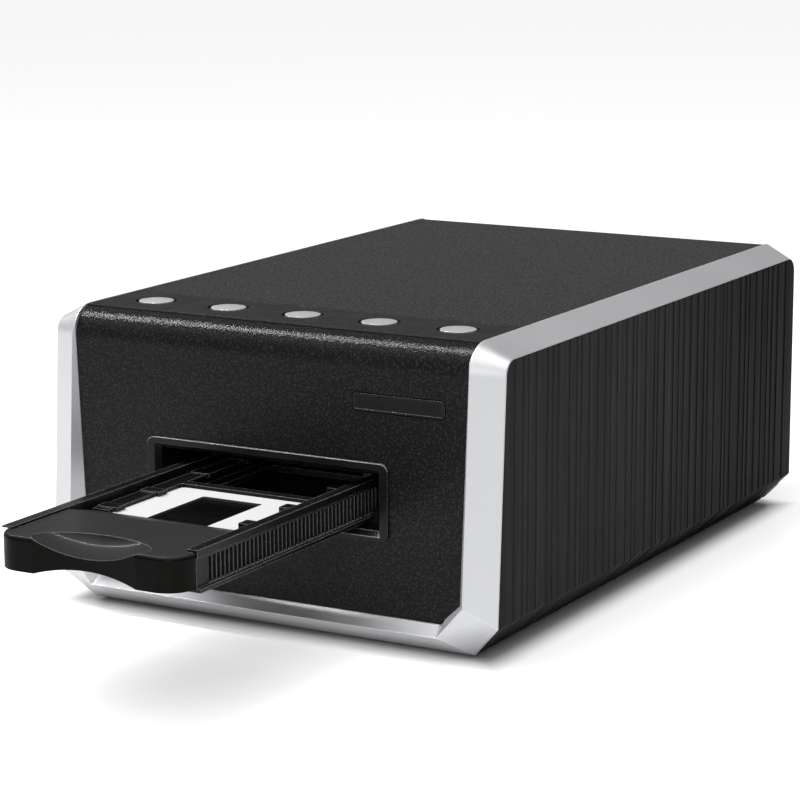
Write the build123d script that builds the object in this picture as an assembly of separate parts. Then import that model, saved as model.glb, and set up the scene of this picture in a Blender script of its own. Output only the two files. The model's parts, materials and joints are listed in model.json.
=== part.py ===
from build123d import *
from math import atan2, cos, degrees, pi, radians, sin, sqrt, tan
import os

# Desktop film scanner with a rack-driven slide holder. Millimetres.
# Working frame: x to the right, y from the front panel's face towards the back,
# z up from the underside of the case. The finished pieces are moved together at
# the end, so that the origin lies under the middle of the whole object.

# ---------------------------------------------------------------- driving sizes
# case
body_width = 175.0
body_height = 104.0
case_back_y = 255.6
wall = 2.4
seam = 0.15                # gap between neighbouring case mouldings
seat_gap = 0.3
foot_height = 1.2

# silver frames: a bevelled band between an inner ridge and the outer side
band_width = 10.4
ridge_y_at_top = -0.53     # the ridge stands in front of the panel
ridge_lean = 0.0634        # and leans forward towards the bottom
bevel_depth = 5.8          # how far the band falls back, front and rear
bevel_drop = 5.2           # how far the band falls on top
ridge_radius = 11.0
outer_radius = 5.5
chamfer = 12.2             # inward bend along the bottom of both sides
bar_ridge_z = 8.2
bar_foot_y = 6.75
corner_inset = 9.1         # lower corner of the ridge, inwards from its upright part
corner_z = 19.0
return_slope = 0.65        # inward slope of the faces that lead to the panel
ledge = 2.8
bar_cavity_z = 5.0         # the lower bar is solid up to here, behind its sloping foot
panel_skin = 2.9
back_inset = 0.5           # the back panel stops this far inside the ridges

# pleated sides
pleat_depth = 0.25
pleat_start = 0.02
pleat_pitch = 5.6
pleat_sway = 1.9           # how uneven the pleats are
pleat_margin = 5.0

# front panel
panel_bottom_z = 11.0
panel_corner_inset = 11.3
panel_corner_z = 18.0
cover_top_gap = 0.3
rear_drop_z = 92.6

# back panel
vent_rows = 2
vent_columns = 9
vent_pitch = 8.0
vent_width = 2.6
vent_height = 16.0
vent_z = 46.0

# button strip and buttons
strip_front_y = 7.6
strip_back_y = 39.4
strip_thickness = 1.2
button_count = 5
button_pitch = 29.7
button_y = 24.5
button_diameter = 12.0
button_gap = 0.4
button_proud = 0.7
button_travel = 0.5
button_flange = 1.2
moat_width = 1.3
moat_depth = 0.6

# slot and bezel
slot_width = 85.0
slot_bottom_z = 39.0
slot_top_z = 58.2
bezel_side = 4.6
bezel_top = 3.8
bezel_bottom = 3.0
bezel_proud = 1.0
bezel_depth = 9.0
bezel_wall = 2.0
bezel_radius = 3.0

# name plate
plate_width = 34.8
plate_height = 6.6
plate_inset = 26.4         # from the right ridge to the middle of the plate
plate_z = 81.8
plate_proud = 0.1
plate_pocket = 1.0
plate_radius = 1.7
plate_gap = 0.4
plate_rim = 0.6
plate_rim_height = 0.3

# film holder
holder_width = 69.0
holder_bottom_z = 40.4
holder_top_z = 53.5
holder_wall = 3.3
holder_front_y = -103.5
tray_front_y = -94.0
tray_back_y = 155.0
handle_rear_y = -55.0
handle_step_y = -68.0
handle_radius = 12.5
handle_drop = 0.7          # the handle's top lies this far under the holder's top
handle_lift = 1.2          # and its underside this far above the holder's underside
handle_edge = 1.6
handle_gap = 0.2
handle_rear_edge = 0.4
scoop_half = 21.5
scoop_depth = 4.8
scoop_radius = 12.5
scoop_set_back = 4.0
lobe_half = 19.0           # half the distance between the two lobes of the grip
arch_height = 2.8
front_dish = 1.5
tray_floor_z = 45.0
mount_seat_z = 47.0
divider_z = 50.2
flange_out = 1.5
flange_thickness = 1.3
lip_out = 0.5
lip_thickness = 2.5
left_lip_reach = 3.4       # the left lip runs on over the handle
pocket_count = 4
pocket_pitch = 54.0
first_pocket_y = -37.8
mount_size = 50.0
mount_thickness = 2.0
mount_window_x = 23.0
mount_window_y = 35.0
mount_fit = 0.2
film_thickness = 0.16
tray_window = 40.0
clip_offset = 12.0
clip_width = 5.0
clip_reach = 2.4
clip_rise = 1.0
tab_reach = 1.2
tab_rise = 0.4
film_bed = 2.2             # how far the bed in the mount reaches past its window

# rack and drive
rack_module = 0.75
pressure_angle = 20.0
rack_front_y = -87.0
pinion_teeth = 20
pinion_y = 62.0
pinion_thickness = 6.2
gear_module = 0.5
gear_teeth = 60
motor_teeth = 16
gear_thickness = 3.0
backlash = 0.12
axle_diameter = 3.0
axle_fit = 0.05
motor_angle = 90.0
motor_diameter = 24.0
motor_length = 18.0
motor_shaft_diameter = 2.0
motor_wall = 2.6
motor_boss = 7.6
motor_ear = 6.5
motor_plate = 1.2
rotor_gap = 0.35

# inner frame
plate_bottom_z = 32.0
plate_gauge = 1.6
rail_gap = 0.3
rail_thickness = 1.2
rail_front_y = 9.2
rail_back_y = 236.0

# light unit and optics
scan_y = 36.5
lamp_half = 5.5
lamp_top_z = 72.0
optic_axis_z = 18.0
lens_y = 92.0
lens_length = 22.0
lens_diameter = 16.0
lens_bore = 11.0
lens_collar = 1.6
sensor_y = 170.0
sensor_half = 18.0
sensor_window = 15.5
sensor_depth = 1.6
housing_half = 28.0
housing_reach = 13.5       # in front of the scan line
housing_wall = 2.0
pad_height = 1.6
pad_diameter = 8.0
cheek_x = 16.0             # the mirror leans on a cheek at each side
cheek_thickness = 3.0
mirror_width = 40.0
mirror_height = 21.0
mirror_thickness = 1.8

# flap behind the slot
flap_pivot_y = 11.5
flap_pivot_z = 61.0
flap_length = 19.5
flap_thickness = 1.2
flap_pin_diameter = 1.5
flap_barrel = 4.0
flap_clearance = 0.3

# boards, posts and screws
board_thickness = 1.6
thread_play = 0.1          # a screw's hole in the piece that it bites
pass_play = 0.4            # and in the piece that it passes through
case_screw_diameter = 3.0
case_screw_head = 5.6
case_screw_length = 11.0
case_screw_seat_z = 1.4
case_screw_cap = 1.3
chassis_screw_diameter = 2.5
chassis_screw_head = 4.6
chassis_screw_length = 6.5
chassis_screw_cap = 1.6
board_screw_diameter = 2.0
board_screw_head = 4.0
board_screw_length = 5.0
board_screw_cap = 1.2
motor_screw_head = 3.8
motor_screw_length = 2.4
motor_screw_cap = 0.6
post_diameter = 7.0
board_post_diameter = 6.0
rim_thickness = 2.2
rim_height = 14.0
pillar_diameter = 8.0
pillar_x = 42.0
foot_diameter = 12.0
main_board_z = 8.0
main_board_half = 37.0
main_board_depth = 55.0
usb_x = -30.0
usb_width = 12.0
jack_x = 30.0
jack_width = 9.0
socket_height = 11.0
socket_gap = 0.3

# ---------------------------------------------------------------- derived sizes
half_width = body_width / 2
button_hole = button_diameter + 2 * button_gap
mount_top_z = mount_seat_z + mount_thickness
mount_middle_z = mount_seat_z + mount_thickness / 2
handle_top_z = holder_top_z - handle_drop
socket_z = main_board_z + board_thickness
ridge_half = half_width - band_width
corner_x = ridge_half - corner_inset
panel_corner_x = ridge_half - panel_corner_inset
plate_x = ridge_half - plate_inset
outer_top_z = body_height - bevel_drop
outer_back_y = case_back_y - bevel_depth
cover_top_z = body_height - cover_top_gap
cover_under_z = cover_top_z - wall
strip_z = cover_top_z - strip_thickness
skin_inner_x = half_width - panel_skin
holder_half = holder_width / 2
tray_inner = holder_half - holder_wall
rack_pitch = pi * rack_module
pinion_radius = rack_module * pinion_teeth / 2
pinion_x = holder_half - rack_module + pinion_radius
gear_distance = gear_module * (gear_teeth + motor_teeth) / 2
motor_x = pinion_x + gear_distance * cos(radians(motor_angle))
motor_y = pinion_y + gear_distance * sin(radians(motor_angle))
plate_top_z = plate_bottom_z + plate_gauge
rail_top_z = holder_bottom_z - rail_gap
rail_bottom_z = rail_top_z - rail_thickness
flange_top_z = holder_bottom_z + flange_thickness
gear_bottom_z = plate_top_z + 1.0
gear_top_z = gear_bottom_z + gear_thickness
pinion_bottom_z = flange_top_z + 1.5
pinion_top_z = pinion_bottom_z + pinion_thickness
lamp_front_y = scan_y - lamp_half
lamp_back_y = scan_y + lamp_half
back_plate_y = case_back_y - cover_top_gap - wall
main_board_back_y = back_plate_y - 3.9
base_front_y = bar_foot_y + 3.45
base_half = half_width - chamfer - panel_skin * sqrt(2) - 0.4
base_back_y = back_plate_y - 0.2
post_x = base_half - rim_thickness - post_diameter / 2 - 0.7
post_front_y = base_front_y + 39.8
post_back_y = base_back_y - 14.9
housing_back_y = sensor_y + 16.0


def ridge_y(z):
    """Front ridge of the silver frames at height z."""
    return ridge_y_at_top - (body_height - z) * ridge_lean


def outer_y(z):
    """Outer front edge of the silver frames at height z."""
    return ridge_y(z) + bevel_depth


def opening_half(z):
    """Half width of the front opening, where it meets the panel, at height z."""
    return ridge_half + return_slope * ridge_y(z)


# ---------------------------------------------------------------- small helpers
def block(x, y, z):
    """A box between the low and high values given for each axis."""
    box = Box(x[1] - x[0], y[1] - y[0], z[1] - z[0])
    return Pos((x[0] + x[1]) / 2, (y[0] + y[1]) / 2, (z[0] + z[1]) / 2) * box


def post(x, y, z_low, z_high, diameter):
    """An upright cylinder."""
    body = Cylinder(diameter / 2, z_high - z_low)
    return Pos(x, y, (z_low + z_high) / 2) * body


def rod_y(x, z, y_low, y_high, diameter):
    """A cylinder along y."""
    body = Rot(90, 0, 0) * Cylinder(diameter / 2, y_high - y_low)
    return Pos(x, (y_low + y_high) / 2, z) * body


def rod_x(y, z, x_low, x_high, diameter):
    """A cylinder along x."""
    body = Rot(0, 90, 0) * Cylinder(diameter / 2, x_high - x_low)
    return Pos((x_low + x_high) / 2, y, z) * body


def outline_yz(points, rounded=()):
    """A face in the y-z plane, with chosen corners rounded."""
    face = make_face(Plane.YZ * Polyline(*points, close=True))
    for corner, radius in rounded:
        target = Vector(0, points[corner][0], points[corner][1])
        vertex = min(face.vertices(), key=lambda v: (Vector(v) - target).length)
        face = fillet(vertex, radius)
    return face


def extrude_x(face, x_low, x_high):
    """Extrude a y-z face between two x values."""
    return extrude(Pos(x_low, 0, 0) * face, x_high - x_low, dir=(1, 0, 0))


def extrude_along_y(points, y_low, y_high):
    """Extrude an x-z outline between two y values."""
    face = make_face(Plane.XZ * Polyline(*points, close=True))
    return extrude(Pos(0, y_low, 0) * face, y_high - y_low, dir=(0, 1, 0))


def extrude_up(points, z_low, z_high):
    """Extrude an x-y outline between two heights."""
    face = make_face(Polyline(*points, close=True))
    return extrude(Pos(0, 0, z_low) * face, z_high - z_low, dir=(0, 0, 1))


def rounded_slab(size_x, size_z, radius, x, z, y_low, y_high):
    """A plate in the x-z plane with rounded corners, between two y values."""
    face = Plane.XZ * RectangleRounded(size_x, size_z, radius)
    return extrude(Pos(x, y_low, z) * face, y_high - y_low, dir=(0, 1, 0))


def mirrored(shape):
    """The same shape on the other side of the case."""
    return mirror(shape, about=Plane.YZ)


def group(*shapes):
    """Separate solids kept together in one node."""
    return Compound(children=[solid for shape in shapes for solid in shape.solids()])


# ---------------------------------------------------------------- case envelope
def ridge_profile():
    """Side view of the case at the ridges."""
    points = [(bar_foot_y, 0), (ridge_y(bar_ridge_z), bar_ridge_z),
              (ridge_y(body_height), body_height), (case_back_y, body_height), (case_back_y, 0)]
    return outline_yz(points, ((2, ridge_radius), (3, ridge_radius)))


def outer_profile(inset=0.0, below=0.0):
    """Side view of the case at its outer sides, drawn in by an inset."""
    low_y = bar_foot_y + inset
    points = [(low_y, -below), (low_y, 0), (outer_y(chamfer) + inset, chamfer),
              (outer_y(outer_top_z) + inset, outer_top_z - inset),
              (outer_back_y - inset, outer_top_z - inset), (outer_back_y - inset, -below)]
    if below == 0.0:
        points.pop(0)
    top = len(points) - 3
    radius = max(outer_radius - inset, 1.0)
    return outline_yz(points, ((top, radius), (top + 1, radius)))


def corner_wedge():
    """What is cut off a lower front corner: the outside of a twisted facet."""
    ridge_high = (ridge_half, ridge_y(corner_z), corner_z)
    ridge_low = (corner_x, ridge_y(bar_ridge_z), bar_ridge_z)
    side_high = (half_width, outer_y(chamfer), chamfer)
    side_low = (half_width - chamfer, bar_foot_y, 0)
    front_out = (ridge_half + 9, -12, -2)
    rear_out = (half_width + 9.5, 0, -12)
    front = Wire.make_polygon([ridge_high, ridge_low, front_out], close=True)
    rear = Wire.make_polygon([side_high, side_low, rear_out], close=True)
    return Solid.make_loft([front, rear], ruled=True)


def bend_wedge(inset=0.0):
    """What lies outside the right-hand bend along the bottom, less an inset."""
    reach = 5.0
    outline = [(half_width - chamfer - reach - inset, -reach), (half_width + reach, -reach),
               (half_width + reach, chamfer + reach + inset)]
    return extrude_along_y(outline, -20, case_back_y + 10)


def case_envelope():
    """The outside of the whole case as one block."""
    ridge = ridge_profile()
    middle = extrude_x(ridge, -ridge_half, ridge_half)
    outer = Pos(half_width, 0, 0) * outer_profile()
    side = loft([Pos(ridge_half, 0, 0) * ridge, outer], ruled=True)
    bend = bend_wedge()
    half = side - bend - corner_wedge()
    core = middle - bend - corner_wedge()
    core = core - mirrored(bend) - mirrored(corner_wedge())
    return core + half + mirrored(half)


# ---------------------------------------------------------------- case pieces
def panel_outline(grow):
    """Front view of the opening that the cover fills."""
    top = body_height + 6
    right = [(opening_half(top) + grow, top), (opening_half(corner_z) + grow, panel_corner_z),
             (panel_corner_x + grow * 0.5, panel_bottom_z - grow)]
    left = [(-x, z) for x, z in reversed(right)]
    return right + left


def front_opening():
    """The sloping mouth from the ridges back to the panel, and what lies behind."""
    top = body_height + 6
    near = [(ridge_half, ridge_y(top), top), (ridge_half, ridge_y(corner_z), corner_z),
            (corner_x, ridge_y(bar_ridge_z), bar_ridge_z)]
    near = near + [(-x, y, z) for x, y, z in reversed(near)]
    far = [(x, 0.0, z) for x, z in panel_outline(0.0)]
    start_y = -20.0
    mouth = [tuple(f + (n - f) * start_y / edge[1] for n, f in zip(edge, base))
             for edge, base in zip(near, far)]
    front = Wire.make_polygon(mouth, close=True)
    rear = Wire.make_polygon(far, close=True)
    funnel = Solid.make_loft([front, rear], ruled=True)
    return [funnel, extrude_along_y(panel_outline(0.0), 0, wall + 0.2)]


def side_skin_blank():
    """The bent sheet that the ribbed side panel is made from, before its ribs."""
    bottom_x = half_width - chamfer
    inner_x = bottom_x - panel_skin * sqrt(2)
    bend_z = chamfer + panel_skin * (sqrt(2) - 1)
    points = [(half_width, body_height), (half_width, chamfer), (bottom_x, 0), (inner_x, 0),
              (skin_inner_x, bend_z), (skin_inner_x, body_height)]
    return extrude_along_y(points, -10, case_back_y)


def side_frame(envelope):
    """The right-hand silver frame."""
    top_z = body_height + 1
    rear_y = case_back_y + 1
    inner_x = opening_half(body_height)
    shoulder_z = cover_under_z - 0.2
    band = envelope & block((corner_x - 0.3, half_width + 1), (-20, rear_y), (-1, top_z))
    hollow = extrude_x(outer_profile(ledge, 6.0), 0, skin_inner_x)
    inside = block((0, inner_x), (wall + 0.2, back_plate_y), (corner_z, shoulder_z))
    low_inside = block((0, base_half), (wall + 0.2, back_plate_y), (bar_cavity_z, corner_z))
    below = block((0, half_width), (base_front_y, back_plate_y), (-5, chamfer))
    top_gap = block((0, inner_x), (wall, rear_y), (shoulder_z, top_z))
    back_gap = block((0, ridge_half - back_inset), (back_plate_y - 0.2, rear_y), (-1, top_z))
    skin = side_skin_blank() & extrude_x(outer_profile(), 0, half_width + 1)
    frame = band - hollow - inside - low_inside - below
    frame = frame - top_gap - back_gap - skin
    for cutter in front_opening():
        frame = frame - cutter
    return frame


def front_lower_bar(envelope):
    """The silver bar that joins the frames under the front panel."""
    half = corner_x - 0.4
    bar = envelope & block((-half, half), (-20, base_front_y - 0.3), (-1, panel_bottom_z - seam))
    bar = bar - block((-half - 1, half + 1), (wall, base_front_y), (bar_cavity_z, panel_bottom_z))
    for cutter in front_opening():
        bar = bar - cutter
    return bar


def pleat_places():
    """Uneven places of the upright steps along the side, from front to back."""
    places = []
    y = outer_y(chamfer) + pleat_margin
    while y < outer_back_y - pleat_margin:
        places.append(y)
        step = len(places)
        y += pleat_pitch + pleat_sway * (sin(1.7 * step) + 0.6 * sin(4.1 * step))
    return places


def pleat_outline(out):
    """Zigzag of what the pleats take off a flat side: (outwards, y) points."""
    places = pleat_places()
    points = [(out, places[0])]
    for front, rear in zip(places, places[1:]):
        points.append((-pleat_start, front))
        points.append((-pleat_depth, rear))
    points.append((out, places[-1]))
    return points


def side_panel():
    """The right-hand pleated side, bent inwards along the bottom."""
    panel = side_skin_blank() & extrude_x(outer_profile(seam), 0, half_width)
    panel = panel - block((0, half_width), (base_front_y - 3, case_back_y), (-1, seam))
    reach = 3.0
    upright = [(half_width + out, y) for out, y in pleat_outline(reach)]
    panel = panel - extrude_up(upright, -reach, body_height)
    start = (half_width - chamfer - reach, 0, -reach)
    slope = Plane(origin=start, x_dir=(1, 0, -1), z_dir=(1, 0, 1))
    bent = slope * make_face(Polyline(*pleat_outline(reach), close=True))
    return panel - extrude(bent, (chamfer + 2 * reach) * sqrt(2), dir=slope.z_dir)


def top_front_cover():
    """The grained cover: front panel, top and the short drop at the back."""
    front = 0.0
    back = case_back_y - cover_top_gap
    low = panel_bottom_z + seam
    radius = ridge_radius - cover_top_gap
    outer = outline_yz([(front, low), (front, cover_top_z), (back, cover_top_z), (back, low)],
                       ((1, radius), (2, radius)))
    inner = outline_yz([(front + wall, low - 1), (front + wall, cover_under_z),
                        (back - wall, cover_under_z), (back - wall, low - 1)],
                       ((1, radius - wall), (2, radius - wall)))
    across = (-half_width, half_width)
    cover = extrude_x(outer, *across) & extrude_along_y(panel_outline(-seam), -5, case_back_y)
    cover = cover - extrude_x(inner, *across)
    cover = cover - block(across, (back - wall - 1, case_back_y + 1), (0, rear_drop_z + seam))
    cover = cover - block(across, (strip_front_y - seam, strip_back_y + seam), (strip_z, body_height))
    cover = cover - [post(x, button_y, cover_under_z - 1, body_height, button_hole)
                     for x in button_places()]
    tube_half = slot_width / 2 + bezel_wall + seam
    cover = cover - block((-tube_half, tube_half), (-1, wall + 1),
                          (slot_bottom_z - bezel_wall - seam, slot_top_z + bezel_wall + seam))
    cover = cover - rounded_slab(plate_width, plate_height, plate_radius, plate_x, plate_z, -1, plate_pocket)
    posts = []
    for x, y in case_screw_places():
        boss = post(x, y, wall + seat_gap, cover_under_z, post_diameter)
        bore_top = case_screw_seat_z + case_screw_length + 1
        posts.append(boss - post(x, y, wall, bore_top, case_screw_diameter + thread_play))
    for x in board_post_places():
        boss = post(x, button_y, button_board_top(), cover_under_z, board_post_diameter)
        bore_top = button_board_top() + board_screw_length - board_thickness + 1
        posts.append(boss - post(x, button_y, button_board_top() - 1, bore_top,
                                 board_screw_diameter + thread_play))
    return cover + posts


def base_tray():
    """The bottom of the case, with its low side walls and bosses."""
    tray = block((-base_half, base_half), (base_front_y, base_back_y), (0, wall))
    for side in (-1, 1):
        edge = sorted((side * (base_half - rim_thickness), side * base_half))
        tray = tray + block(edge, (base_front_y, base_back_y), (0, rim_height))
    for x, y in pillar_places():
        tray = tray + post(x, y, wall, plate_bottom_z, pillar_diameter)
        tray = tray - post(x, y, plate_bottom_z - chassis_screw_length, plate_bottom_z + 1,
                           chassis_screw_diameter + thread_play)
    for x, y in main_board_posts():
        tray = tray + post(x, y, wall, main_board_z, board_post_diameter)
        tray = tray - post(x, y, main_board_z - board_screw_length + 1, main_board_z + 1,
                           board_screw_diameter + thread_play)
    for x, y in case_screw_places():
        tray = tray - post(x, y, -1, wall + 1, case_screw_diameter + pass_play)
        tray = tray - post(x, y, -1, case_screw_seat_z, case_screw_head + pass_play)
    return tray


def back_panel():
    """The rear plate with its vents and two connector openings."""
    half = ridge_half - back_inset - seam
    through = (back_plate_y - 1, case_back_y + 1)
    panel = block((-half, half), (back_plate_y, back_plate_y + wall), (0.2, rear_drop_z - seam))
    panel = panel - bend_wedge(seam) - mirrored(bend_wedge(seam))
    vents = []
    for row in range(vent_rows):
        for column in range(vent_columns):
            x = (column - (vent_columns - 1) / 2) * vent_pitch
            z = vent_z + row * (vent_height + vent_width * 2)
            vents.append(rounded_slab(vent_width, vent_height, vent_width / 2 - 0.1, x, z, *through))
    panel = panel - vents
    for x, width in ((usb_x, usb_width), (jack_x, jack_width)):
        sides = (x - width / 2 - socket_gap, x + width / 2 + socket_gap)
        panel = panel - block(sides, through, (socket_z - socket_gap, socket_z + socket_height + socket_gap))
    return panel


def slot_bezel():
    """The raised dark surround of the film slot, with ears for the flap pin."""
    width = slot_width + 2 * bezel_side
    low = slot_bottom_z - bezel_bottom
    high = slot_top_z + bezel_top
    face = rounded_slab(width, high - low, bezel_radius, 0, (low + high) / 2, -bezel_proud, 0)
    half = slot_width / 2
    tube = block((-half - bezel_wall, half + bezel_wall), (-bezel_proud, bezel_depth),
                 (slot_bottom_z - bezel_wall, slot_top_z + bezel_wall))
    bezel = face + tube
    bezel = bezel - block((-half, half), (-bezel_proud - 1, bezel_depth + 1), (slot_bottom_z, slot_top_z))
    flare = 1.6
    mouth = Solid.make_loft([
        Wire.make_polygon([(x, -bezel_proud - 0.01, z) for x, z in slot_corners(flare)], close=True),
        Wire.make_polygon([(x, bezel_proud, z) for x, z in slot_corners(0.0)], close=True)], ruled=True)
    bezel = bezel - mouth
    for side in (-1, 1):
        ear_x = sorted((side * half, side * (half + bezel_wall)))
        ear = block(ear_x, (bezel_depth - 1, flap_pivot_y + 3), (slot_top_z - 6, flap_pivot_z + 3))
        bezel = bezel + ear
    return bezel - rod_x(flap_pivot_y, flap_pivot_z, -half - 5, half + 5, flap_pin_diameter)


def slot_corners(grow):
    """Corners of the slot in the x-z plane, grown by a flare."""
    half = slot_width / 2 + grow
    return [(-half, slot_bottom_z - grow), (half, slot_bottom_z - grow),
            (half, slot_top_z + grow), (-half, slot_top_z + grow)]


def name_plate():
    """The bare plate with its thin raised rim, upper right of the front."""
    width = plate_width - 2 * plate_gap
    height = plate_height - 2 * plate_gap
    radius = plate_radius - plate_gap
    plate = rounded_slab(width, height, radius, plate_x, plate_z, -plate_proud, plate_pocket)
    return plate - rounded_slab(width - 2 * plate_rim, height - 2 * plate_rim, radius - plate_rim,
                                plate_x, plate_z, -1, plate_rim_height - plate_proud)


def rubber_feet():
    """Four round feet under the base."""
    x = base_half - 13.8
    places = [(side * x, y) for side in (-1, 1) for y in (base_front_y + 15.8, base_back_y - 24.9)]
    return group(*[post(x, y, -foot_height, 0, foot_diameter) for x, y in places])


# ---------------------------------------------------------------- fasteners
def case_screw_places():
    return [(x, y) for x in (-post_x, post_x) for y in (post_front_y, post_back_y)]


def screw(x, y, seat_z, length, head, height, diameter, up=False):
    """A pan screw at seat_z. It points down from its head, or up."""
    sign = 1 if up else -1
    shank = sorted((seat_z, seat_z + sign * length))
    cap = sorted((seat_z, seat_z - sign * height))
    return post(x, y, shank[0], shank[1], diameter) + post(x, y, cap[0], cap[1], head)


def case_screws():
    """Screws from below into the cover's four posts."""
    return group(*[screw(x, y, case_screw_seat_z, case_screw_length, case_screw_head, case_screw_cap,
                         case_screw_diameter, up=True) for x, y in case_screw_places()])


def pillar_places():
    return [(x, y) for x in (-pillar_x, pillar_x) for y in (rail_front_y + 8.8, motor_y + 31, rail_back_y - 10)]


def chassis_screws():
    """Screws that hold the chassis plate on its pillars."""
    return group(*[screw(x, y, plate_top_z, chassis_screw_length, chassis_screw_head, chassis_screw_cap,
                         chassis_screw_diameter) for x, y in pillar_places()])


# ---------------------------------------------------------------- buttons
def button_places():
    middle = (button_count - 1) / 2
    return [(index - middle) * button_pitch for index in range(button_count)]


def board_post_places():
    return [-1.5 * button_pitch, 1.5 * button_pitch]


def button_flange_top():
    return cover_under_z - 0.2


def plunger_top():
    return button_flange_top() - 0.8 - button_travel - 0.1


def button_board_top():
    return plunger_top() - 0.6 - 3.5


def button_strip():
    """The smooth strip across the top, with a moat round each button."""
    half = opening_half(body_height) - seam
    strip = block((-half, half), (strip_front_y, strip_back_y), (strip_z, cover_top_z))
    for x in button_places():
        strip = strip - post(x, button_y, strip_z - 1, body_height, button_hole)
        strip = strip - post(x, button_y, cover_top_z - moat_depth, body_height,
                             button_diameter + 2 * moat_width)
    step = 0.25
    for y in (strip_front_y + 1.6, strip_back_y - 1.6):
        strip = strip - block((-half - 1, half + 1), (y - step, y + step), (cover_top_z - step, body_height))
    return strip


def button(x):
    """One round cap with its retaining flange."""
    flange_top = button_flange_top()
    radius = button_diameter / 2
    top = cover_top_z + button_proud
    cap = post(x, button_y, flange_top - 0.1, top, button_diameter)
    dome_radius = (radius * radius + 0.6 * 0.6) / (2 * 0.6)
    cap = cap & (Pos(x, button_y, top - dome_radius) * Sphere(dome_radius))
    cap = cap + post(x, button_y, flange_top - 0.8, flange_top, button_diameter + 2 * button_flange)
    return cap


def button_board():
    """The narrow board under the strip."""
    half = button_pitch * 2 + 6.5
    top = button_board_top()
    board = block((-half, half), (button_y - 10, button_y + 10), (top - board_thickness, top))
    for x in board_post_places():
        board = board - post(x, button_y, top - 3, top + 1, board_screw_diameter + pass_play)
    return board


def tact_switches():
    """One small switch under each button."""
    top = button_board_top()
    switches = []
    for x in button_places():
        base = block((x - 3, x + 3), (button_y - 3, button_y + 3), (top, top + 3.5))
        switches.append(base + post(x, button_y, top + 3.5, plunger_top(), 3.4))
    return group(*switches)


def button_board_screws():
    """Two screws that hold the button board to the cover."""
    seat = button_board_top() - board_thickness
    return group(*[screw(x, button_y, seat, board_screw_length, board_screw_head, board_screw_cap,
                         board_screw_diameter, up=True) for x in board_post_places()])


# ---------------------------------------------------------------- film holder
def pocket_places():
    return [first_pocket_y + index * pocket_pitch for index in range(pocket_count)]


def rack_gaps():
    """Zigzag outline, in plan, of the gaps between the rack's teeth."""
    tip_x = holder_half
    pitch_x = holder_half - rack_module
    root_x = pitch_x - 1.25 * rack_module
    slope = tan(radians(pressure_angle))
    gap_half = rack_pitch / 4 + backlash / 2
    tip_half = gap_half + rack_module * slope
    root_half = gap_half - 1.25 * rack_module * slope
    first = int((rack_front_y - pinion_y) / rack_pitch)
    last = int((tray_back_y - 3.0 - pinion_y) / rack_pitch)
    points = [(tip_x + 1, pinion_y + first * rack_pitch - 1)]
    for index in range(first, last + 1):
        y = pinion_y + index * rack_pitch
        points.append((tip_x, y - tip_half))
        points.append((root_x, y - root_half))
        points.append((root_x, y + root_half))
        points.append((tip_x, y + tip_half))
    points.append((tip_x + 1, pinion_y + last * rack_pitch + 1))
    return points


def holder_tray():
    """The long tray with four slide pockets and a rack along its right wall."""
    length = (tray_front_y, tray_back_y)
    inner = tray_inner + 1
    over = divider_z + 1
    tray = block((-tray_inner - 0.5, tray_inner + 0.5), length, (tray_floor_z, divider_z))
    under_handle = (tray_front_y - 1, handle_rear_y + seat_gap)
    tray = tray - block((-inner, inner), under_handle, (mount_seat_z, over))
    half = mount_size / 2 + mount_fit
    window = tray_window / 2
    for y in pocket_places():
        tray = tray - block((-half, half), (y - half, y + half), (mount_seat_z, over))
        tray = tray - block((-window, window), (y - window, y + window), (tray_floor_z - 1, divider_z))
    for side in (-1, 1):
        wall_x = sorted((side * tray_inner, side * holder_half))
        lip_x = sorted((side * tray_inner, side * (holder_half + lip_out)))
        flange_x = sorted((side * tray_inner, side * (holder_half + flange_out)))
        tray = tray + block(wall_x, length, (holder_bottom_z, holder_top_z))
        tray = tray + block(lip_x, length, (holder_top_z - lip_thickness, holder_top_z))
        tray = tray + block(flange_x, length, (holder_bottom_z, flange_top_z))
    tray = tray + block((-holder_half - lip_out, -tray_inner),
                        (tray_front_y - left_lip_reach, tray_front_y), (handle_top_z + seam, holder_top_z))
    tray = tray - extrude_up(rack_gaps(), flange_top_z + seat_gap, holder_top_z - lip_thickness - 0.8)
    for y in clip_places():
        tab_x = (-tray_inner - 0.2, -mount_size / 2 + tab_reach)
        tray = tray + block(tab_x, y, (mount_top_z + mount_fit, divider_z + tab_rise))
    return tray


def clip_places():
    """Ranges along y of the small clips that hold the slides."""
    middles = [y + offset for y in pocket_places() for offset in (-clip_offset, clip_offset)]
    return [(y - clip_width / 2, y + clip_width / 2) for y in middles]


def holder_grip():
    """The grip's block, with two rounded front corners and a rounded upper edge."""
    rear = tray_front_y - handle_gap
    low = holder_bottom_z + handle_lift
    corners = [(-holder_half, rear), (-holder_half, holder_front_y),
               (holder_half, holder_front_y), (holder_half, rear)]
    plan = make_face(Polyline(*corners, close=True))
    radius = min(handle_radius, rear - holder_front_y - 0.1)
    plan = fillet(plan.vertices().sort_by(Axis.Y)[:2], radius)
    grip = extrude(Pos(0, 0, low) * plan, handle_top_z - low, dir=(0, 0, 1))
    upper = grip.faces().sort_by(Axis.Z)[-1].edges()
    return fillet(upper.filter_by(lambda edge: edge.center().Y < rear - 0.5), handle_edge)


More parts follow.
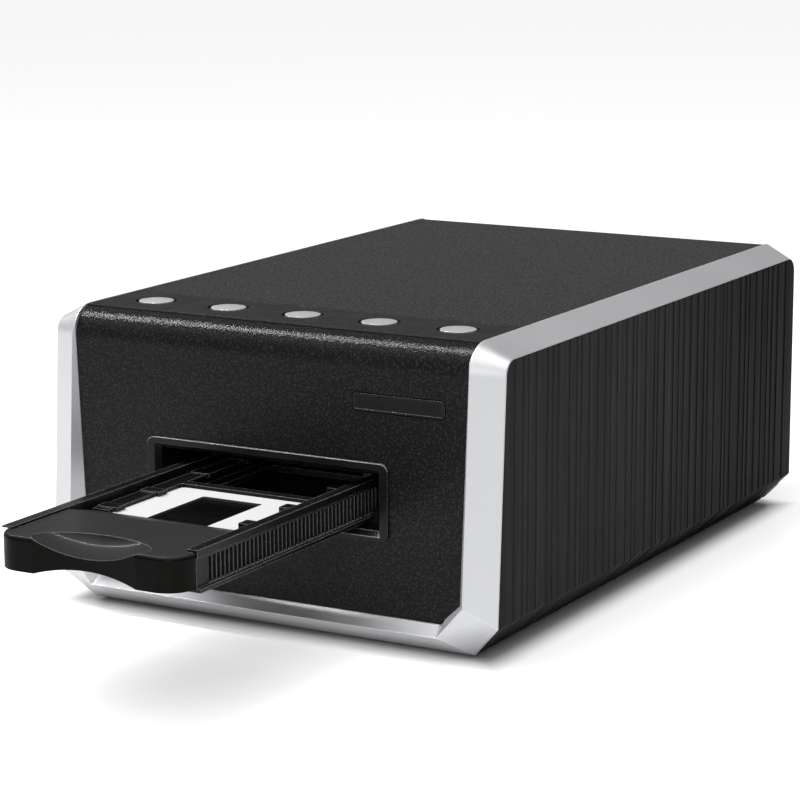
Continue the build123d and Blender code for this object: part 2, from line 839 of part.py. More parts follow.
def finger_scoop():
    """The wide shallow dish for a fingertip: an arc turned about a line across the grip."""
    arc_radius = (scoop_half ** 2 + scoop_depth ** 2) / (2 * scoop_depth)
    reach = sqrt(arc_radius ** 2 - (arc_radius - scoop_radius) ** 2)
    arc = ThreePointArc((-reach, 0), (0, scoop_radius), (reach, 0))
    spindle = revolve(make_face(arc + Line((reach, 0), (-reach, 0))), Axis.X)
    return Pos(0, holder_front_y + scoop_set_back, handle_top_z + scoop_radius - scoop_depth) * spindle


def bow_radius(half, rise):
    """Radius of an arc from its half span and its rise."""
    return (half ** 2 + rise ** 2) / (2 * rise)


def holder_handle():
    """The grip at the front of the holder: scooped on top, arched below, dished in front."""
    low = holder_bottom_z + handle_lift
    mount_front_y = first_pocket_y - mount_size / 2 - mount_fit
    seat_z = mount_top_z + mount_fit
    cover = outline_yz([(tray_front_y - 1, mount_seat_z), (tray_front_y - 1, handle_top_z),
                        (handle_step_y, handle_top_z), (handle_rear_y, seat_z + handle_rear_edge),
                        (handle_rear_y, seat_z), (mount_front_y, seat_z), (mount_front_y, mount_seat_z)])
    half = tray_inner - handle_gap
    grip = holder_grip() + extrude_x(cover, -half, half)
    grip = grip - finger_scoop()
    arch = bow_radius(lobe_half, arch_height)
    grip = grip - rod_y(0, low + arch_height - arch, holder_front_y - 5, tray_front_y, 2 * arch)
    dish = bow_radius(lobe_half, front_dish)
    return grip - post(0, holder_front_y + front_dish - dish, low - 1, handle_top_z + 1, 2 * dish)


def slide_clips():
    """Two small clips for each pocket, on the inner side of the right wall."""
    clips = []
    inner_x = mount_size / 2 - clip_reach
    low = mount_top_z + mount_fit
    for y in clip_places():
        arm = block((inner_x, tray_inner), y, (divider_z, divider_z + clip_rise))
        nose = block((inner_x, mount_size / 2), y, (low, divider_z + clip_rise / 2))
        clips.append(arm + nose)
    return group(*clips)


def slide_mount_half(low, high, film_side):
    """One half of the slide mount, with a shallow bed for the film."""
    y = first_pocket_y
    outside = Pos(0, y, low) * RectangleRounded(mount_size, mount_size, 2.0)
    window = Pos(0, y, low - 1) * RectangleRounded(mount_window_x, mount_window_y, 1.0)
    frame = extrude(outside, high - low, dir=(0, 0, 1)) - extrude(window, high - low + 2, dir=(0, 0, 1))
    bed = film_thickness / 2 + 0.02
    half_x = mount_window_x / 2 + film_bed
    half_y = mount_window_y / 2 + film_bed
    return frame - block((-half_x, half_x), (y - half_y, y + half_y), (film_side - bed, film_side + bed))


def slide_mount_lower():
    return slide_mount_half(mount_seat_z, mount_middle_z, mount_middle_z)


def slide_mount_upper():
    return slide_mount_half(mount_middle_z, mount_top_z, mount_middle_z)


def film_chip():
    """The piece of film between the two halves of the mount."""
    half_x = mount_window_x / 2 + film_bed - mount_fit
    half_y = mount_window_y / 2 + film_bed - mount_fit
    y = first_pocket_y
    half_film = film_thickness / 2
    return block((-half_x, half_x), (y - half_y, y + half_y),
                 (mount_middle_z - half_film, mount_middle_z + half_film))


# ---------------------------------------------------------------- inner frame
def chassis_plate():
    """The sheet that carries the rails, the drive and the light unit."""
    half = pillar_x + pillar_diameter / 2
    level = (plate_bottom_z, plate_top_z)
    through = (plate_bottom_z - 1, plate_top_z + 1)
    plate = block((-half, half), (12, 238), level)
    wing_x = (pillar_x, motor_x + motor_diameter / 2 + 7.0)
    wing_y = (motor_y - motor_diameter, motor_y + motor_diameter)
    plate = plate + block(wing_x, wing_y, level)
    plate = plate - block((-18, 18), (scan_y - 7, scan_y + 7), through)
    plate = plate - post(motor_x, motor_y, *through, motor_boss + pass_play)
    plate = plate - post(pinion_x, pinion_y, *through, axle_diameter)
    for x, y in pillar_places():
        plate = plate - post(x, y, *through, chassis_screw_diameter + pass_play)
    for x, y in motor_screw_places():
        plate = plate - post(x, y, *through, board_screw_diameter + pass_play)
    return plate


def guide_rail():
    """The right-hand channel that the holder's lower flange runs in."""
    flange_x = holder_half + flange_out
    side_x = flange_x + rail_gap
    lip_z = flange_top_z + rail_gap + 0.1
    out_x = side_x + rail_thickness
    lip_top = lip_z + 0.8
    along = (rail_front_y, rail_back_y)
    rail = block((holder_half - 1.5, out_x), along, (rail_bottom_z, rail_top_z))
    rail = rail + block((side_x, out_x), along, (rail_bottom_z, lip_top))
    rail = rail + block((holder_half + lip_out + 0.1, out_x), along, (lip_z, lip_top))
    for y in (rail_front_y + 10.8, pinion_y + 42, rail_back_y - 10):
        rail = rail + block((holder_half - 1.0, out_x), (y - 5, y + 5), (plate_top_z, rail_bottom_z))
    return rail


# ---------------------------------------------------------------- drive
def involute(base_radius, radius):
    """Roll angle, in radians, of an involute at a radius."""
    ratio = max(radius / base_radius, 1.0)
    return sqrt(ratio * ratio - 1) - atan2(sqrt(ratio * ratio - 1), 1)


def gear_outline(teeth, module, x, y, turn, addendum=1.0):
    """Points of a spur gear whose tooth 0 points along turn, in degrees."""
    pitch_radius = module * teeth / 2
    base_radius = pitch_radius * cos(radians(pressure_angle))
    tip_radius = pitch_radius + addendum * module
    root_radius = pitch_radius - 1.25 * module
    half_tooth = (pi * module / 2 - backlash) / 2 / pitch_radius + involute(base_radius, pitch_radius)
    start_radius = max(base_radius, root_radius)
    flank = [start_radius + (tip_radius - start_radius) * step / 4 for step in range(5)]
    points = []
    for tooth in range(teeth):
        middle = radians(turn) + 2 * pi * tooth / teeth
        rise = [(root_radius, middle - half_tooth)] if root_radius < base_radius else []
        rise = rise + [(r, middle - half_tooth + involute(base_radius, r)) for r in flank]
        fall = [(r, 2 * middle - angle) for r, angle in reversed(rise)]
        points = points + [(x + r * cos(a), y + r * sin(a)) for r, a in rise + fall]
    return points


def drive_gear():
    """The moulded gear: a wheel driven by the motor and a pinion in the rack."""
    wheel = extrude_up(gear_outline(gear_teeth, gear_module, pinion_x, pinion_y, motor_angle, 0.9),
                       gear_bottom_z, gear_top_z)
    hub = post(pinion_x, pinion_y, gear_top_z, pinion_bottom_z, 5.6)
    pinion = extrude_up(gear_outline(pinion_teeth, rack_module, pinion_x, pinion_y, 180.0),
                        pinion_bottom_z, pinion_top_z)
    gear = wheel + hub + pinion
    return gear - post(pinion_x, pinion_y, gear_bottom_z - 1, pinion_top_z + 1, axle_diameter + 2 * axle_fit)


def gear_axle():
    """The fixed axle, with a shoulder under the gear."""
    axle = post(pinion_x, pinion_y, plate_bottom_z, pinion_top_z + 2.0, axle_diameter)
    return axle + post(pinion_x, pinion_y, plate_top_z, gear_bottom_z - 0.3, axle_diameter + 0.8)


def axle_clip():
    """The ring that keeps the gear on its axle."""
    low = pinion_top_z + 0.3
    ring = post(pinion_x, pinion_y, low, low + 0.6, 6.0)
    return ring - post(pinion_x, pinion_y, low - 1, low + 2, axle_diameter)


def motor_screw_places():
    reach = motor_diameter / 2 + 3.0
    return [(motor_x, motor_y - reach), (motor_x, motor_y + reach)]


def drive_motor():
    """The stepper motor's can, hung under the chassis plate."""
    flange_z = plate_bottom_z - motor_plate
    can = post(motor_x, motor_y, motor_floor_z(), flange_z, motor_diameter)
    screws = motor_screw_places()
    for x, y in screws:
        can = can + post(x, y, flange_z, plate_bottom_z, motor_ear)
    bridge_x = (motor_x - motor_ear / 2, motor_x + motor_ear / 2)
    can = can + block(bridge_x, (screws[0][1], screws[1][1]), (flange_z, plate_bottom_z))
    can = can + post(motor_x, motor_y, flange_z, plate_bottom_z + 1.0, motor_boss)
    for x, y in screws:
        can = can - post(x, y, flange_z - 1, plate_bottom_z + 1, board_screw_diameter + thread_play)
    low, high, diameter = rotor_cavity()
    can = can - post(motor_x, motor_y, low, high, diameter)
    return can - post(motor_x, motor_y, motor_floor_z() + 0.9, plate_bottom_z + 2,
                      motor_shaft_diameter + 2 * axle_fit)


def motor_floor_z():
    """Underside of the motor's can."""
    return plate_bottom_z - motor_plate - motor_length


def rotor_cavity():
    """The round space inside the motor, as (low z, high z, diameter)."""
    return (motor_floor_z() + 2.0, plate_bottom_z - 2.6, motor_diameter - 2 * motor_wall)


def motor_shaft():
    return post(motor_x, motor_y, motor_floor_z() + 1.0, gear_top_z + 0.8, motor_shaft_diameter)


def motor_magnet():
    """The rotor that turns with the shaft inside the motor."""
    low, high, diameter = rotor_cavity()
    magnet = post(motor_x, motor_y, low + rotor_gap, high - rotor_gap, diameter - 2 * rotor_gap)
    return magnet - post(motor_x, motor_y, low - 1, high + 1, motor_shaft_diameter)


def motor_pinion():
    """The small pinion on the motor shaft, in mesh with the drive gear."""
    turn = motor_angle + 180.0 + 180.0 / motor_teeth
    outline = gear_outline(motor_teeth, gear_module, motor_x, motor_y, turn, 0.9)
    pinion = extrude_up(outline, gear_bottom_z - 0.2, gear_top_z + 0.4)
    return pinion - post(motor_x, motor_y, gear_bottom_z - 1, gear_top_z + 1, motor_shaft_diameter)


def motor_screws():
    return group(*[screw(x, y, plate_top_z, motor_screw_length, motor_screw_head, motor_screw_cap,
                         board_screw_diameter) for x, y in motor_screw_places()])


# ---------------------------------------------------------------- light unit
def lamp_bridge():
    """The channel over the film path, on two legs."""
    leg_in = leg_span()
    leg_out = leg_in + 2.0
    top = block((-leg_out, leg_out), (lamp_front_y, lamp_back_y), (lamp_top_z - 1.6, lamp_top_z))
    bridge = top
    for side in (-1, 1):
        leg_x = sorted((side * leg_in, side * leg_out))
        foot_x = sorted((side * leg_in, side * (leg_out + 2.5)))
        bridge = bridge + block(leg_x, (lamp_front_y, lamp_back_y), (plate_top_z, lamp_top_z))
        bridge = bridge + block(foot_x, (lamp_front_y, lamp_back_y), (plate_top_z, plate_top_z + 1.2))
    for y in ((lamp_front_y, lamp_front_y + 1.2), (lamp_back_y - 1.2, lamp_back_y)):
        bridge = bridge + block((-leg_out, leg_out), y, (lamp_top_z - 12, lamp_top_z))
    return bridge


def lamp_board():
    top = lamp_top_z - 1.6
    return block((-32, 32), (lamp_front_y + 1.6, lamp_back_y - 1.6), (top - board_thickness, top))


def lamp_leds():
    """A row of small light sources under the lamp board."""
    top = lamp_top_z - 1.6 - board_thickness
    chips = [block((x - 1.6, x + 1.6), (scan_y - 1.4, scan_y + 1.4), (top - 1.2, top))
             for x in [index * 6.4 for index in range(-4, 5)]]
    return group(*chips)


def lamp_diffuser():
    low = lamp_top_z - 12
    return block((-leg_span(), leg_span()), (lamp_front_y + 1.2, lamp_back_y - 1.2), (low, low + 2.0))


def leg_span():
    """Inner half span of the light unit's legs, a little inside the slot's width."""
    return slot_width / 2 - 1.0


# ---------------------------------------------------------------- optics
def optics_housing():
    """The dark box under the scan line, open at the top."""
    front = scan_y - housing_reach
    under = wall + pad_height
    floor = under + housing_wall
    inner_half = housing_half - housing_wall
    box = block((-housing_half, housing_half), (front, housing_back_y), (under, plate_bottom_z))
    box = box - block((-inner_half, inner_half), (front + housing_wall, housing_back_y - housing_wall),
                      (floor, plate_bottom_z + 1))
    pad_x = housing_half - pad_diameter
    for x in (-pad_x, pad_x):
        for y in (front + pad_diameter + 1, housing_back_y - pad_diameter - 2):
            box = box + post(x, y, wall, under, pad_diameter)
    half = 8.0
    near_y = scan_y - half + 1.4
    far_y = scan_y + half + 2.4
    wedge = outline_yz([(near_y, floor), (far_y, floor), (far_y, optic_axis_z + half),
                        (far_y - 1, optic_axis_z + half), (near_y, optic_axis_z - half)])
    for side in (-1, 1):
        cheek = sorted((side * cheek_x, side * (cheek_x + cheek_thickness)))
        box = box + extrude_x(wedge, *cheek)
    saddle = block((-lens_bore, lens_bore), (lens_y + 3, lens_y + lens_length - 3), (floor, optic_axis_z))
    box = box + (saddle - rod_y(0, optic_axis_z, lens_y, lens_y + lens_length, lens_diameter))
    holder_y = sensor_y + sensor_depth + board_thickness
    for x in (-pad_x, pad_x):
        box = box + block((x - 2, x + 2), (holder_y, holder_y + 6), (floor, floor + 14))
    return box


def fold_mirror():
    """The 45 degree mirror under the scan line."""
    plate = Box(mirror_width, mirror_height, mirror_thickness)
    return Pos(0, scan_y, optic_axis_z) * Rot(45, 0, 0) * Pos(0, 0, mirror_thickness / 2 - 0.98) * plate


def lens_barrel():
    """The lens tube on its saddle."""
    back = lens_y + lens_length
    tube = rod_y(0, optic_axis_z, lens_y, back, lens_diameter)
    collar = rod_y(0, optic_axis_z, lens_y, lens_y + 2.5, lens_diameter + lens_collar)
    return tube + collar - rod_y(0, optic_axis_z, lens_y - 1, back + 1, lens_bore)


def lens_glass():
    """Two lens elements in the tube."""
    back = lens_y + lens_length
    front_lens = rod_y(0, optic_axis_z, lens_y + 1.5, lens_y + 4.5, lens_bore)
    rear_lens = rod_y(0, optic_axis_z, back - 4.5, back - 1.5, lens_bore)
    return group(front_lens, rear_lens)


def lens_clamp():
    """The strap over the lens tube."""
    y = (lens_y + 7, lens_y + lens_length - 7)
    band = rod_y(0, optic_axis_z, y[0], y[1], lens_diameter + 2.4)
    band = band - block((-20, 20), (y[0] - 1, y[1] + 1), (0, optic_axis_z))
    for side in (-1, 1):
        tab_x = sorted((side * lens_diameter / 2, side * 11.0))
        band = band + block(tab_x, y, (optic_axis_z, optic_axis_z + 1.2))
    return band - rod_y(0, optic_axis_z, lens_y - 1, lens_y + lens_length + 1, lens_diameter)


def sensor_board():
    floor = wall + pad_height + housing_wall
    front = sensor_y + sensor_depth
    return block((-sensor_half - 5, sensor_half + 5), (front, front + board_thickness), (floor, floor + 22))


def line_sensor():
    """The long sensor package facing the lens."""
    body = block((-sensor_half, sensor_half), (sensor_y - 1.4, sensor_y + sensor_depth),
                 (optic_axis_z - 5, optic_axis_z + 5))
    return body - block((-sensor_window, sensor_window), (sensor_y - 2, sensor_y - 0.8),
                        (optic_axis_z - 1.6, optic_axis_z + 1.6))


# ---------------------------------------------------------------- flap
def flap_tilt():
    """Angle below level, in degrees, at which the flap's tip clears the holder."""
    drop = flap_pivot_z - (holder_top_z + flap_clearance + flap_thickness / 2)
    return degrees(atan2(drop, sqrt(flap_length ** 2 - drop ** 2)))


def dust_flap():
    """The hinged flap, lifted and resting over the holder."""
    half = slot_width / 2 - 1.2
    barrel = rod_x(0, 0, -half, half, flap_barrel)
    leaf = block((-half, half), (0, flap_length), (-flap_thickness / 2, flap_thickness / 2))
    flap = barrel + leaf - rod_x(0, 0, -half - 1, half + 1, flap_pin_diameter + 2 * axle_fit)
    return Pos(0, flap_pivot_y, flap_pivot_z) * Rot(-flap_tilt(), 0, 0) * flap


def flap_pin():
    half = slot_width / 2 + bezel_wall
    return rod_x(flap_pivot_y, flap_pivot_z, -half, half, flap_pin_diameter)


# ---------------------------------------------------------------- electronics
def main_board_posts():
    front = main_board_back_y - 49
    back = main_board_back_y - 5
    return [(-32.0, front), (32.0, front), (-18.0, back), (18.0, back)]


def main_board():
    across = (-main_board_half, main_board_half)
    along = (main_board_back_y - main_board_depth, main_board_back_y)
    board = block(across, along, (main_board_z, socket_z))
    for x, y in main_board_posts():
        board = board - post(x, y, main_board_z - 1, socket_z + 1, board_screw_diameter + pass_play)
    return board


def board_parts():
    """Chips, capacitors and sockets on the main board."""
    middle = main_board_back_y - main_board_depth / 2
    chips = [(-16, 0, -16, 0, 1.4), (8, 22, -16, -2, 1.4), (-32, -22, -12, -6, 1.2),
             (-8, 8, -24, -20, 4.0), (26, 34, -14, -10, 3.5)]
    parts = [block((left, right), (middle + near, middle + far), (socket_z, socket_z + height))
             for left, right, near, far, height in chips]
    for x, y in ((30, 8), (21, 6), (-2, 12)):
        parts.append(post(x, middle + y, socket_z, socket_z + 8.0, 6.3))
    return group(*parts)


def board_screws():
    return group(*[screw(x, y, socket_z, board_screw_length, board_screw_head, board_screw_cap,
                         board_screw_diameter) for x, y in main_board_posts()])


def usb_socket():
    """The square data socket at the back."""
    back = back_plate_y + wall
    top = socket_z + socket_height
    shell_wall = 1.5
    half = usb_width / 2
    shell = block((usb_x - half, usb_x + half), (back - 16, back), (socket_z, top))
    shell = shell - block((usb_x - half + shell_wall, usb_x + half - shell_wall), (back - 9, back + 1),
                          (socket_z + shell_wall, top - shell_wall))
    tongue = block((usb_x - 2.8, usb_x + 2.8), (back - 9.5, back - 1), (socket_z + 4.0, socket_z + 7.0))
    return shell + tongue


def power_jack():
    """The round power socket with its centre pin."""
    back = back_plate_y + wall
    middle = socket_z + socket_height / 2
    half = jack_width / 2
    shell = block((jack_x - half, jack_x + half), (back - 13, back), (socket_z, socket_z + socket_height))
    shell = shell - rod_y(jack_x, middle, back - 9, back + 1, 6.4)
    return shell + rod_y(jack_x, middle, back - 9.5, back - 1, 2.0)


# ---------------------------------------------------------------- all pieces
def all_pieces():
    envelope = case_envelope()
    frame = side_frame(envelope)
    skin = side_panel()
    rail = guide_rail()
    pieces = {
        "right_side_frame": frame,
        "left_side_frame": mirrored(frame),
        "front_lower_bar": front_lower_bar(envelope),
        "right_side_panel": skin,
        "left_side_panel": mirrored(skin),
        "top_front_cover": top_front_cover(),
        "base_tray": base_tray(),
        "back_panel": back_panel(),
        "slot_bezel": slot_bezel(),
        "name_plate": name_plate(),
        "rubber_feet": rubber_feet(),
        "case_screws": case_screws(),
        "chassis_screws": chassis_screws(),
        "button_strip": button_strip(),
        "button_board": button_board(),
        "tact_switches": tact_switches(),
        "button_board_screws": button_board_screws(),
        "holder_tray": holder_tray(),
        "holder_handle": holder_handle(),
        "slide_clips": slide_clips(),
        "slide_mount_lower": slide_mount_lower(),
        "slide_mount_upper": slide_mount_upper(),
        "film_chip": film_chip(),
        "chassis_plate": chassis_plate(),
        "right_guide_rail": rail,
        "left_guide_rail": mirrored(rail),
        "drive_gear": drive_gear(),
        "gear_axle": gear_axle(),
        "axle_clip": axle_clip(),
        "drive_motor": drive_motor(),
        "motor_shaft": motor_shaft(),
        "motor_magnet": motor_magnet(),
        "motor_pinion": motor_pinion(),
        "motor_screws": motor_screws(),
        "lamp_bridge": lamp_bridge(),
        "lamp_board": lamp_board(),
        "lamp_leds": lamp_leds(),
        "lamp_diffuser": lamp_diffuser(),
        "optics_housing": optics_housing(),
        "fold_mirror": fold_mirror(),
        "lens_barrel": lens_barrel(),
        "lens_glass": lens_glass(),
        "lens_clamp": lens_clamp(),
        "sensor_board": sensor_board(),
        "line_sensor": line_sensor(),
        "dust_flap": dust_flap(),
        "flap_pin": flap_pin(),
        "main_board": main_board(),
        "board_parts": board_parts(),
        "board_screws": board_screws(),
        "usb_socket": usb_socket(),
        "power_jack": power_jack(),
    }
    for index, x in enumerate(button_places()):
        pieces["button_%d" % (index + 1)] = button(x)
    return pieces


os.makedirs("parts", exist_ok=True)
place = Pos(0, -(holder_front_y + case_back_y) / 2, foot_height)
for node, shape in all_pieces().items():
    export_step(place * shape, "parts/" + node + ".step")
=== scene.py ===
import json
import math
from functools import partial

import bpy
from mathutils import Matrix, Vector


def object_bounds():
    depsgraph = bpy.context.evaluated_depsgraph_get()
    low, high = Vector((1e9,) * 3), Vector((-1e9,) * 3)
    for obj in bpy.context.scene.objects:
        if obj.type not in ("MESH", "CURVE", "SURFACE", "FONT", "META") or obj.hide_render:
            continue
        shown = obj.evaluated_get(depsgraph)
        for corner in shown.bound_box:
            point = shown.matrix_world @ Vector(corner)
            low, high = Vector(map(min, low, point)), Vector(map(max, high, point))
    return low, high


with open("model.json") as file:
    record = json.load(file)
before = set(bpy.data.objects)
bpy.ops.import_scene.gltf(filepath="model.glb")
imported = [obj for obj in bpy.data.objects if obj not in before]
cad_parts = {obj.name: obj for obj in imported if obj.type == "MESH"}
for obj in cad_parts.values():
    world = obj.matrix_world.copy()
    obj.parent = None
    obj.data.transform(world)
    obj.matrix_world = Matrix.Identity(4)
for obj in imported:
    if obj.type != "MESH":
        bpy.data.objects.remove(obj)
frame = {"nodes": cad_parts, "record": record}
cad_low, cad_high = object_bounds()

MM = 0.001

# ---------------------------------------------------------------- camera
CAMERA_AZIMUTH = math.radians(29.49)
CAMERA_ELEVATION = math.radians(11.7)
CAMERA_ROLL = math.radians(-0.21)
CAMERA_TARGET = Vector((0.05235, -0.07785, 0.08545))
CAMERA_DISTANCE = 0.88995
CAMERA_LENS_MM = 124.84
SENSOR_MM = 36.0


def add_camera():
    """A long lens to the right of the front and a little above it."""
    azimuth, elevation, roll = CAMERA_AZIMUTH, CAMERA_ELEVATION, CAMERA_ROLL
    back = Vector((math.sin(azimuth) * math.cos(elevation),
                   -math.cos(azimuth) * math.cos(elevation), math.sin(elevation)))
    right = Vector((math.cos(azimuth), math.sin(azimuth), 0.0))
    up = back.cross(right)
    turned_right = right * math.cos(roll) + up * math.sin(roll)
    turned_up = up * math.cos(roll) - right * math.sin(roll)
    data = bpy.data.cameras.new("camera")
    data.lens = CAMERA_LENS_MM
    data.sensor_width = SENSOR_MM
    data.clip_start = 0.05
    data.clip_end = 60.0
    camera = bpy.data.objects.new("camera", data)
    bpy.context.scene.collection.objects.link(camera)
    axes = Matrix((turned_right, turned_up, back)).transposed().to_4x4()
    camera.matrix_world = Matrix.Translation(CAMERA_TARGET + back * CAMERA_DISTANCE) @ axes
    bpy.context.scene.camera = camera


# ---------------------------------------------------------------- shader building
class Shader:
    """A material with short names for the nodes that it is built from."""

    def __init__(self, name):
        self.material = bpy.data.materials.new(name)
        self.material.use_nodes = True
        self.tree = self.material.node_tree
        self.surface = self.tree.nodes["Principled BSDF"]
        self.place = self.tree.nodes.new("ShaderNodeTexCoord").outputs["Object"]

    def node(self, kind, **settings):
        """Adds a node and sets its properties."""
        made = self.tree.nodes.new(kind)
        for key, value in settings.items():
            setattr(made, key, value)
        return made

    def link(self, source, target):
        """Links a socket to an input, or gives the input a plain value."""
        if isinstance(source, bpy.types.NodeSocket):
            self.tree.links.new(source, target)
        else:
            target.default_value = source

    def set(self, name, value):
        """Sets or links an input of the surface."""
        self.link(value, self.surface.inputs[name])

    def stretch(self, x, y, z):
        """Object coordinates with each axis scaled by itself."""
        mapping = self.node("ShaderNodeMapping")
        self.link(self.place, mapping.inputs["Vector"])
        mapping.inputs["Scale"].default_value = (x, y, z)
        return mapping.outputs["Vector"]

    def noise(self, size, detail=3.0, rough=0.5, place=None):
        """Noise between 0 and 1 whose features are about size metres across."""
        made = self.node("ShaderNodeTexNoise")
        self.link(place or self.place, made.inputs["Vector"])
        made.inputs["Scale"].default_value = 1.0 / size
        made.inputs["Detail"].default_value = detail
        made.inputs["Roughness"].default_value = rough
        return made.outputs["Fac"]

    def cells(self, size, feature="F1", place=None, randomness=1.0):
        """Distance to the nearest point of a scatter, or to the edge of its cell."""
        made = self.node("ShaderNodeTexVoronoi", feature=feature)
        self.link(place or self.place, made.inputs["Vector"])
        made.inputs["Scale"].default_value = 1.0 / size
        made.inputs["Randomness"].default_value = randomness
        return made.outputs["Distance"]

    def warped(self, size, amount):
        """Object coordinates pushed about by noise."""
        made = self.node("ShaderNodeTexNoise")
        self.link(self.place, made.inputs["Vector"])
        made.inputs["Scale"].default_value = 1.0 / size
        centred = self.node("ShaderNodeVectorMath", operation="SUBTRACT")
        self.link(made.outputs["Color"], centred.inputs[0])
        centred.inputs[1].default_value = (0.5, 0.5, 0.5)
        push = self.node("ShaderNodeVectorMath", operation="SCALE")
        self.link(centred.outputs["Vector"], push.inputs[0])
        push.inputs["Scale"].default_value = amount
        total = self.node("ShaderNodeVectorMath", operation="ADD")
        self.link(self.place, total.inputs[0])
        self.link(push.outputs["Vector"], total.inputs[1])
        return total.outputs["Vector"]

    def math(self, operation, first, second=0.0, clamp=False):
        """One step of arithmetic."""
        made = self.node("ShaderNodeMath", operation=operation, use_clamp=clamp)
        self.link(first, made.inputs[0])
        self.link(second, made.inputs[1])
        return made.outputs["Value"]

    def axis(self, vector, letter):
        """One component of a vector."""
        made = self.node("ShaderNodeSeparateXYZ")
        self.link(vector, made.inputs["Vector"])
        return made.outputs[letter]

    def lift(self):
        """1 on a level top, 0 on an upright face and -1 on an underside."""
        return self.axis(self.node("ShaderNodeNewGeometry").outputs["Normal"], "Z")

    def spread(self, value, low, high, from_low=0.0, from_high=1.0):
        """Maps a value to the range from low to high."""
        made = self.node("ShaderNodeMapRange")
        self.link(value, made.inputs["Value"])
        made.inputs["From Min"].default_value = from_low
        made.inputs["From Max"].default_value = from_high
        made.inputs["To Min"].default_value = low
        made.inputs["To Max"].default_value = high
        return made.outputs["Result"]

    def blend(self, share, first, second):
        """A mix of two colours."""
        made = self.node("ShaderNodeMix", data_type="RGBA")
        self.link(share, made.inputs["Factor"])
        self.link(opaque(first), made.inputs["A"])
        self.link(opaque(second), made.inputs["B"])
        return made.outputs["Result"]

    def edges(self, radius, gain=5.0, upward_glint=0.0):
        """Near 1 along outer edges and 0 on flat faces; upward favours edges that face up, where
        painted highlights from a top light go.
        """
        rounded = self.node("ShaderNodeBevel", samples=4)
        rounded.inputs["Radius"].default_value = radius
        plain = self.node("ShaderNodeNewGeometry")
        product = self.node("ShaderNodeVectorMath", operation="DOT_PRODUCT")
        self.link(rounded.outputs["Normal"], product.inputs[0])
        self.link(plain.outputs["Normal"], product.inputs[1])
        missing = self.math("SUBTRACT", 1.0, product.outputs["Value"])
        share = self.math("MULTIPLY", missing, gain, clamp=True)
        if upward_glint > 0:
            height = self.axis(rounded.outputs["Normal"], "Z")
            share = self.math("MULTIPLY", share, self.spread(height, 1.0 - upward_glint, 1.0, 0.1, 0.7))
        return share

    def bump(self, layers, edge_radius=0.0):
        """Adds height layers, each (height, distance in metres), over softened edges."""
        normal = None
        if edge_radius > 0:
            rounded = self.node("ShaderNodeBevel", samples=4)
            rounded.inputs["Radius"].default_value = edge_radius
            normal = rounded.outputs["Normal"]
        for height, distance in layers:
            made = self.node("ShaderNodeBump")
            made.inputs["Strength"].default_value = 1.0
            made.inputs["Distance"].default_value = distance
            self.link(height, made.inputs["Height"])
            if normal is not None:
                self.link(normal, made.inputs["Normal"])
            normal = made.outputs["Normal"]
        self.set("Normal", normal)


def opaque(colour):
    """A colour with its alpha, or a socket as it is."""
    if isinstance(colour, bpy.types.NodeSocket):
        return colour
    return (*colour[:3], 1.0)


def scaled(colour, factor):
    """A colour made lighter or darker."""
    return tuple(min(channel * factor, 1.0) for channel in colour[:3])


# ---------------------------------------------------------------- finishes
COAT_ROUGHNESS = 0.12
# Near-white painted highlight along the silver edges.
SILVER_EDGE_HIGHLIGHT = (0.93, 0.93, 0.94)
RUBBED_LEATHER = (0.045, 0.045, 0.047)
# Painted highlight on the pleat edges.
PLEAT_RIDGE_HIGHLIGHT = (0.075, 0.075, 0.08)
CHIPPED_CARD = (0.6, 0.6, 0.58)
CARD_SIDE = (0.035, 0.035, 0.036)
# The lift of the front-top curve's glossiest line, where the highlight lies in the photo.
RUBBED_LIFT = 0.75
# From here backwards along y painted shade darkens the pleated sides, as far as the second number.
SIDE_PAINTED_SHADE_SPAN = (0.03, 0.13)
SIDE_PAINTED_SHADE_FACTOR = 0.12


def moulded(name, colour, rough, depth=0.008 * MM, edge=0.25 * MM, wear_and_glint=0.35, wear_and_glint_gain=2.2,
            upward_glint=0.0, specular=0.15, coat=0.0, dust=0.0):
    """Moulded plastic: faint blotches, a fine texture, and lightened edges that are partly rubbing
    and partly a painted highlight.

    depth is the height of the texture and edge the radius of the softened edges. wear is how
    strongly edges are lightened, wear_and_glint_gain how many times lighter they get, and upward
    how far they keep to edges that face up, as a top light picks them out; at large gains the
    lightened edges are painted highlights. dust is the grey painted onto faces that face up:
    painted light on the tops.
    """
    shader = Shader(name)
    blotch = shader.noise(22 * MM, 4.0)
    fine = shader.noise(0.35 * MM, 2.0)
    # Lightened edges: rubbing at small gains, and a painted highlight along the edges at the large
    # gains of the black pieces.
    wear_and_glint_share = shader.math("MULTIPLY", shader.edges(edge, 6.0, upward_glint), wear_and_glint)
    body = shader.blend(blotch, scaled(colour, 0.872), scaled(colour, 1.128))
    # Painted light: faces that face up are lightened towards the grey given by dust, as if lit
    # from above.
    if dust > 0:
        painted_top_light = shader.math("MULTIPLY", shader.spread(shader.lift(), 0.0, 1.0, 0.5, 0.92),
                              shader.spread(blotch, 0.8, 1.0))
        body = shader.blend(painted_top_light, body, (dust, dust, dust))
    shader.set("Base Color", shader.blend(wear_and_glint_share, body, scaled(colour, wear_and_glint_gain)))
    scuffs = shader.noise(6 * MM, 5.0, 0.65)
    shader.set("Roughness", shader.spread(scuffs, rough - 0.07, rough + 0.07, 0.3, 0.7))
    shader.set("Specular IOR Level", specular)
    if coat > 0:
        shader.set("Coat Weight", coat)
        shader.set("Coat Roughness", COAT_ROUGHNESS)
    shader.bump([(blotch, 0.05 * MM), (fine, depth)], edge)
    return shader.material


